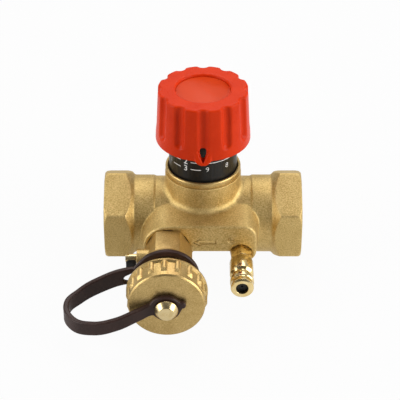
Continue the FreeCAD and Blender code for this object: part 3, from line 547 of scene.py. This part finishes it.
def makeNipple():
    nipple = spin(nippleBody)
    size = nippleHex
    length = size["end"] - size["start"]
    bpy.ops.object.select_all(action="DESELECT")
    bpy.ops.mesh.primitive_cylinder_add(vertices=6, radius=size["corner"] * mm, depth=length * mm)
    hexagon = bpy.context.object
    hexagon.location = (0, 0, (size["start"] + size["end"]) / 2 * mm)
    settle(hexagon)
    addModifier(hexagon, "BEVEL", width=size["edge"] * mm, segments=2, limit_method="ANGLE",
                angle_limit=math.radians(30))
    selectOnly(hexagon, nipple)
    bpy.ops.object.join()
    nipple = bpy.context.object
    toFront(nipple, *nippleAxis)
    smooth(nipple, 25.0)
    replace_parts(dress(nipple, "testNipple", polishedBrass), "measuring_nipple")
    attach(nipple, "nipple")


makeRim()
makeStud()
makeNipple()
print("turned pieces spun")


# moulded pieces: the solids with broken edges and smooth round faces

brokenEdges = {  # node, finish, slot, body, width of the edge in mm, angle where edges start
    "knobDisc": ("knob_cover", discPlastic, "red_plastic", "spindle", 0.0, 28.0),
    "scaleSleeve": ("scale_ring", blackPlastic, "black_plastic", "valve", 0.0, 30.0),
    "drainCock": ("drain_body", drainBrass, "drain_brass", "valve", 0.22, 35.0),
    "hoseCap": ("drain_cap", drainBrass, "drain_brass", "cap", 0.14, 30.0),
    "drainStem": ("drain_stem", studBrass, "drain_brass", "drain", 0.08, 35.0),
    "drainTab": ("drain_lever", blackPlastic, "black_plastic", "drain", 0.15, 35.0),
}


def makeBrokenEdges():
    for name, (nodeName, finish, slotName, body, width, angle) in brokenEdges.items():
        piece = mergedCopy(nodeName, name)
        if width:
            editAll(piece)
            bpy.ops.mesh.dissolve_limited(angle_limit=math.radians(0.4))
            leaveEdit()
            addModifier(piece, "BEVEL", width=width * mm, segments=2, limit_method="ANGLE",
                        angle_limit=math.radians(angle), miter_outer="MITER_SHARP")
        smooth(piece, angle)
        dress(piece, name, finish)
        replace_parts(piece, nodeName)
        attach(piece, body)
    print("broken edges on", len(brokenEdges), "pieces")


makeBrokenEdges()


# knob: the solid, with its lands and rims rounded off as moulded plastic is

redKnob = {"voxel": 0.3 * mm, "softening": 0.5, "rounds": 5, "mostTriangles": 190000, "crease": 60.0}


def makeKnob():
    knob, triangles = softenedCopy("knob", "redKnob", redKnob)
    smooth(knob, redKnob["crease"])
    dress(knob, "redKnob", redPlastic)
    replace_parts(knob, "knob")
    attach(knob, "spindle")
    print("knob:", len(knob.data.polygons), "faces from", triangles, "triangles")


makeKnob()


# white print on the scale ring, laid out flat and then wrapped round the ring

scalePrint = {
    "ringRadius": 12.85 * mm, "stand": 0.015 * mm, "thickness": 0.02 * mm,
    "topRow": 37.04 * mm, "rowPitch": 3.0 * mm, "rows": 4, "columnTurn": -30.0,
    "numeral": 3.4 * mm, "numeralWeight": 0.04 * mm, "lineWidth": 0.3 * mm,
    "tenth": 2.9 * mm, "tenthWeight": -0.02 * mm, "tenthTurn": 1.3, "tenthPitch": 36.0, "tenthRow": 28.24 * mm,
    "seam": -90.0, "span": (-95.0, 270.0),
    "bars": [  # spans in degrees beside each numeral
        [(-57.5, -40.0)], [(-57.5, -40.0), (8.0, 270.0)], [(-57.5, -40.0), (-20.8, 270.0)],
        [(-57.5, -40.0), (-20.8, -3.3)],
    ],
    "step": 0.35 * mm,
}


def flatText(word, height, along, level, weight):
    bpy.ops.object.text_add()
    label = bpy.context.object
    label.data.body = word
    label.data.size = height
    label.data.align_x = "CENTER"
    label.data.align_y = "CENTER"
    label.data.offset = weight
    label.data.resolution_u = 6
    bpy.ops.object.convert(target="MESH")
    label = bpy.context.object
    label.rotation_euler = (math.radians(90), 0, 0)
    label.location = (along, 0, level)
    settle(label)
    return label


def flatBar(first, last, level, width):
    bpy.ops.mesh.primitive_plane_add(size=1.0)
    bar = bpy.context.object
    bar.rotation_euler = (math.radians(90), 0, 0)
    bar.scale = (last - first, width, 1.0)
    bar.location = ((first + last) / 2, 0, level)
    settle(bar)
    return bar


def makeScalePrint():
    look = scalePrint
    reach = look["ringRadius"] + look["stand"]
    perDegree = math.pi * reach / 180.0
    marks = []
    for row in range(look["rows"]):
        level = look["topRow"] - row * look["rowPitch"]
        along = look["columnTurn"] * perDegree
        marks.append(flatText(str(row), look["numeral"], along, level, look["numeralWeight"]))
        for first, last in look["bars"][row]:
            marks.append(flatBar(first * perDegree, last * perDegree, level, look["lineWidth"]))
    for tenth in range(1, 10):
        turn = look["columnTurn"] - look["tenthPitch"] * tenth + look["tenthTurn"]
        along = (turn + 360.0 if turn < look["seam"] else turn) * perDegree
        marks.append(flatText(str(tenth), look["tenth"], along, look["tenthRow"], look["tenthWeight"]))
    selectOnly(*marks)
    bpy.ops.object.join()
    label = bpy.context.object
    first, last = look["span"]
    cutAcross(label, 0, first * perDegree, last * perDegree, look["step"])
    for vertex in label.data.vertices:  # wrap: distance along the label becomes an angle
        turn = vertex.co.x / reach
        vertex.co = (reach * math.sin(turn), -reach * math.cos(turn), vertex.co.z)
    addModifier(label, "SOLIDIFY", thickness=look["thickness"], offset=1.0)
    dress(label, "scalePrint", scaleInk)
    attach(label, "valve")
    print("scale print:", len(label.data.polygons), "faces")


makeScalePrint()


# threads: a closed three-sided ridge wound round its axis

threadPitch = 1.814 * mm
threadSteps = 72
ridgeShare = 0.46  # half the ridge's foot, as a share of the pitch
pipeThread = {"root": 13.3 * mm, "crest": 12.06 * mm, "start": 25.6 * mm, "turns": 6}
hoseThread = {"root": 9.45 * mm, "crest": 10.42 * mm, "start": 48.6 * mm, "turns": 2}


def windThread(name, size):  # wound along +Z from the origin
    bpy.ops.mesh.primitive_circle_add(vertices=3, radius=1.0, fill_type="NOTHING")
    ridge = bpy.context.object
    half = threadPitch * ridgeShare
    corners = ((size["root"], -half), (size["crest"], 0.0), (size["root"], half))
    for vertex, (radius, height) in zip(ridge.data.vertices, corners):
        vertex.co = (radius, 0, height)
    addModifier(ridge, "SCREW", angle=math.tau, screw_offset=threadPitch, iterations=size["turns"],
                steps=threadSteps, render_steps=threadSteps, axis="Z", use_merge_vertices=False)
    editAll(ridge)
    bpy.ops.mesh.fill_holes(sides=4)
    bpy.ops.mesh.normals_make_consistent(inside=False)
    leaveEdit()
    ridge.name = name
    return ridge


def makeThreads():
    for name, side in (("inletThread", 1), ("outletThread", -1)):
        ridge = windThread(name, pipeThread)
        ridge.rotation_euler = (0, side * math.radians(90), 0)
        ridge.location = (side * pipeThread["start"], 0, 0)
        settle(ridge)
        smooth(ridge, 25.0)
        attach(dress(ridge, name, turnedBrass), "valve")
    ridge = windThread("hoseThread", hoseThread)
    ridge.rotation_euler = (math.radians(90), 0, 0)
    ridge.location = (drainAxis[0] * mm, -hoseThread["start"], drainAxis[1] * mm)
    settle(ridge)
    smooth(ridge, 25.0)
    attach(dress(ridge, "hoseThread", drainBrass), "valve")
    print("threads wound")


makeThreads()


# rubber strap: a flat moulded shape with two eyes, bent along its run

strapShape = {
    "eyeOuter": 11.8, "eyeInner": 9.4, "eyeBandHalf": 3.6, "buttonBandHalf": 2.2,
    "buttonOuter": 5.2, "buttonInner": 2.75,
    "nubAt": 5.75, "nubRadius": 1.4, "nubTurn": 12.0, "nubFoot": 1.1, "nubFootTurn": 17.0,
    "blend": 4.5, "thickness": 2.0, "edge": 0.55, "before": 16.0, "after": 10.0, "cutFrom": 3.0, "step": 0.6,
    "slit": [  # where the eye runs out into the band
        (9.0, 4.2), (11.4, 2.0), (13.6, 0.9), (15.4, 0.3), (16.2, -0.4), (16.4, -1.1), (16.1, -1.9),
        (15.2, -2.4), (13.8, -2.8), (11.6, -3.6), (9.2, -4.9),
    ],
    "run": [
        (3, -40.4, 0), (-5, -40.4, 0), (-13, -40.4, 0), (-21, -40.4, 0.3), (-27.5, -40.1, 0.0),
        (-37.6, -42, -2.7), (-44.9, -45, -5.6), (-49.4, -50, -7.3), (-47, -57, -8.5), (-39.6, -61.2, -7.6),
        (-31.3, -62.0, -5.2), (-23.5, -60.5, -2.2), (-18.0, -58.95, -0.4), (-13, -58.9, 0), (-3, -58.9, 0.3),
    ],
}


def strapRun():
    run = bpy.data.curves.new("strapRun", "CURVE")
    run.dimensions = "3D"
    run.twist_mode = "Z_UP"
    run.resolution_u = 24
    spline = run.splines.new("BEZIER")
    spline.bezier_points.add(len(strapShape["run"]) - 1)
    for point, place in zip(spline.bezier_points, strapShape["run"]):
        point.co = Vector(place) * mm
        point.handle_left_type = point.handle_right_type = "AUTO"
    path = bpy.data.objects.new("strapRun", run)
    scene.collection.objects.link(path)
    bpy.context.view_layer.update()
    line = bpy.data.meshes.new_from_object(path)
    points = [vertex.co for vertex in line.vertices]
    length = sum((b - a).length for a, b in zip(points, points[1:])) / mm
    return path, length


def halfWidth(along, length):  # outer outline: the two eyes melt into the band
    size = strapShape
    button = length - size["before"] - size["after"]
    share = min(max(along / button, 0.0), 1.0)
    band = size["eyeBandHalf"] + (size["buttonBandHalf"] - size["eyeBandHalf"]) * share
    for centre, radius in ((0.0, size["eyeOuter"]), (button, size["buttonOuter"])):
        inside = radius ** 2 - (along - centre) ** 2
        eye = math.sqrt(inside) if inside > 0 else radius - abs(along - centre)
        gap = max(size["blend"] - abs(band - eye), 0.0) / size["blend"]
        band = max(band, eye) + gap * gap * size["blend"] / 4
    return band


def arc(centre, radius, first, last, count):
    turns = [math.radians(first + (last - first) * k / count) for k in range(count + 1)]
    return [(centre + radius * math.cos(turn), radius * math.sin(turn)) for turn in turns]


def nubReach(turn):  # the button eye's rim, with a round pull nub that melts into it
    size = strapShape
    off = math.radians(turn - size["nubTurn"])
    inside = size["nubRadius"] ** 2 - (size["nubAt"] * math.sin(off)) ** 2
    rim = size["buttonOuter"] + size["nubFoot"] * math.exp(-(math.degrees(off) / size["nubFootTurn"]) ** 2)
    if inside < 0 or math.cos(off) < 0:
        return rim
    return max(rim, size["nubAt"] * math.cos(off) + math.sqrt(inside))


def strapOutline(length):
    size = strapShape
    button = length - size["before"] - size["after"]
    outline = arc(0.0, size["eyeOuter"], 270.0, 90.0, 36)
    steps = int(button / size["step"])
    upper = [(button * k / steps, halfWidth(button * k / steps, length)) for k in range(1, steps)]
    outline += upper
    for k in range(91):
        turn = 90.0 - 2.0 * k
        reach = nubReach(turn)
        outline.append((button + reach * math.cos(math.radians(turn)), reach * math.sin(math.radians(turn))))
    outline += [(x, -z) for x, z in reversed(upper)]
    eye = arc(0.0, size["eyeInner"], 318.0, 42.0, 40)
    eye += size["slit"]
    hole = arc(button, size["buttonInner"], 0.0, 345.0, 23)
    return [outline, eye, hole]


def makeStrap():
    size = strapShape
    path, length = strapRun()
    flat = bpy.data.curves.new("strapFlat", "CURVE")
    flat.dimensions = "2D"
    flat.fill_mode = "BOTH"
    flat.bevel_depth = size["edge"] * mm
    flat.bevel_resolution = 2
    flat.extrude = (size["thickness"] / 2 - size["edge"]) * mm
    flat.offset = -size["edge"] * mm
    for loop in strapOutline(length):
        spline = flat.splines.new("POLY")
        spline.points.add(len(loop) - 1)
        spline.use_cyclic_u = True
        for point, (x, z) in zip(spline.points, loop):
            point.co = ((x + size["before"]) * mm, z * mm, 0.0, 1.0)
    strap = bpy.data.objects.new("strapFlat", flat)
    scene.collection.objects.link(strap)
    selectOnly(strap)
    bpy.ops.object.convert(target="MESH")
    strap = bpy.context.object
    strap.rotation_euler = (math.radians(90), 0, 0)
    settle(strap)
    editAll(strap)
    bpy.ops.mesh.remove_doubles(threshold=0.002 * mm)
    leaveEdit()
    cutAcross(strap, 0, size["cutFrom"] * mm, length * mm, size["step"] * mm)
    addModifier(strap, "CURVE", object=path, deform_axis="POS_X")
    editAll(strap)
    bpy.ops.mesh.normals_make_consistent(inside=False)
    leaveEdit()
    smooth(strap, 40.0)
    bpy.data.objects.remove(path)
    dress(strap, "rubberStrap", brownRubber)
    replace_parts(strap, "strap")
    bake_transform(strap)
    print("strap:", round(length, 1), "mm run,", len(strap.data.polygons), "faces")


makeStrap()


# floor, light and camera

studio = {
    "floorLevel": cadBox[0].z - 0.0002, "floorSize": 6.0, "floorColour": (0.55, 0.55, 0.55), "floorGlow": 0.95,
    "ambientSky": (0.5, 0.06), "glossySky": (0.44, 0.12),  # behind the object, in front of it
    "glossyFloor": (0.46, 0.9), "glossySpan": (-0.03, 0.04),  # left and right of the object
    "frontWay": (0.0, -0.68, 0.73), "frontEdge": (0.34, 0.82),
    "lamps": [
        ("topBox", (0.0, 0.5, 1.0), (0.0, 0.0, 0.02), 1.1, 7.7),
        ("leftBox", (-1.0, -0.27, 0.42), (0.0, 0.0, 0.02), 0.8, 7.4),
        ("rightBox", (0.97, -0.35, 0.4), (0.0, 0.0, 0.02), 0.9, 10.6),
    ],
}


def whiteRays(tree, inMetal):  # camera and clear rays see the white background, metal a dimmer one
    light = tree.nodes.new("ShaderNodeLightPath")
    glossy = math2(tree, "MULTIPLY", light.outputs["Is Glossy Ray"], inMetal)
    seen = math2(tree, "MAXIMUM", light.outputs["Is Camera Ray"], glossy)
    return math2(tree, "MAXIMUM", seen, light.outputs["Is Transmission Ray"])


def makeFloor():
    bpy.ops.object.select_all(action="DESELECT")
    bpy.ops.mesh.primitive_plane_add(size=studio["floorSize"], location=(0, 0, studio["floorLevel"]))
    floor = bpy.context.object
    floor.name = "floor"
    finish = newFinish("paleFloor")
    tree = finish.node_tree
    matt = put(tree, "ShaderNodeBsdfDiffuse", Color=(*studio["floorColour"], 1.0))
    glow = put(tree, "ShaderNodeEmission", Strength=1.0)
    blend = tree.nodes.new("ShaderNodeMixShader")
    output = tree.nodes.new("ShaderNodeOutputMaterial")
    place = tree.nodes.new("ShaderNodeSeparateXYZ")
    join(tree, objectCoords(tree), place.inputs[0])
    inMetal = mapRange(tree, place.outputs["X"], *studio["glossyFloor"], *studio["glossySpan"])
    join(tree, math2(tree, "MULTIPLY", whiteRays(tree, inMetal), studio["floorGlow"]), blend.inputs[0])
    join(tree, matt.outputs[0], blend.inputs[1])
    join(tree, glow.outputs[0], blend.inputs[2])
    join(tree, blend.outputs[0], output.inputs["Surface"])
    floor.data.materials.append(finish)


def makeWorld():
    world = bpy.data.worlds.new("studioWorld")
    scene.world = world
    world.use_nodes = True
    tree = world.node_tree
    tree.nodes.clear()
    back = put(tree, "ShaderNodeBackground", Color=(1.0, 1.0, 1.0, 1.0))
    output = tree.nodes.new("ShaderNodeOutputWorld")
    way = tree.nodes.new("ShaderNodeTexCoord").outputs["Generated"]
    front = put(tree, "ShaderNodeVectorMath", {"operation": "DOT_PRODUCT"})
    join(tree, way, front.inputs[0])
    front.inputs[1].default_value = studio["frontWay"]
    inMetal = mapRange(tree, front.outputs["Value"], *studio["glossySky"], *studio["frontEdge"])
    isGlossy = tree.nodes.new("ShaderNodeLightPath").outputs["Is Glossy Ray"]
    dim = mapRange(tree, front.outputs["Value"], *studio["ambientSky"], *studio["frontEdge"])
    ambient = math2(tree, "MULTIPLY", math2(tree, "SUBTRACT", 1.0, isGlossy), dim)
    join(tree, math2(tree, "MAXIMUM", whiteRays(tree, inMetal), ambient), back.inputs["Strength"])
    join(tree, back.outputs[0], output.inputs["Surface"])


def makeLamps():
    for name, place, aim, size, power in studio["lamps"]:
        lamp = bpy.data.lights.new(name, "AREA")
        lamp.shape = "DISK"
        lamp.size = size
        lamp.energy = power
        holder = bpy.data.objects.new(name, lamp)
        scene.collection.objects.link(holder)
        holder.location = place
        holder.rotation_euler = (Vector(aim) - Vector(place)).to_track_quat("-Z", "Y").to_euler()


cameraSetup = {
    "elevation": 34.918, "distance": 578.3 * mm, "lens": 134.27, "sensor": 36.0,
    "shiftX": -0.00757, "shiftY": 0.0321, "clip": (0.02, 20.0),
}


def makeCamera():
    setup = cameraSetup
    lens = bpy.data.cameras.new("photoCamera")
    lens.lens = setup["lens"]
    lens.sensor_width = setup["sensor"]
    lens.shift_x = setup["shiftX"]
    lens.shift_y = setup["shiftY"]
    lens.clip_start, lens.clip_end = setup["clip"]
    camera = bpy.data.objects.new("photoCamera", lens)
    scene.collection.objects.link(camera)
    rise = math.radians(setup["elevation"])
    camera.location = (0.0, -setup["distance"] * math.cos(rise), setup["distance"] * math.sin(rise))
    camera.rotation_euler = (math.pi / 2 - rise, 0.0, 0.0)
    scene.camera = camera


makeFloor()
makeWorld()
makeLamps()
makeCamera()
print("studio ready")
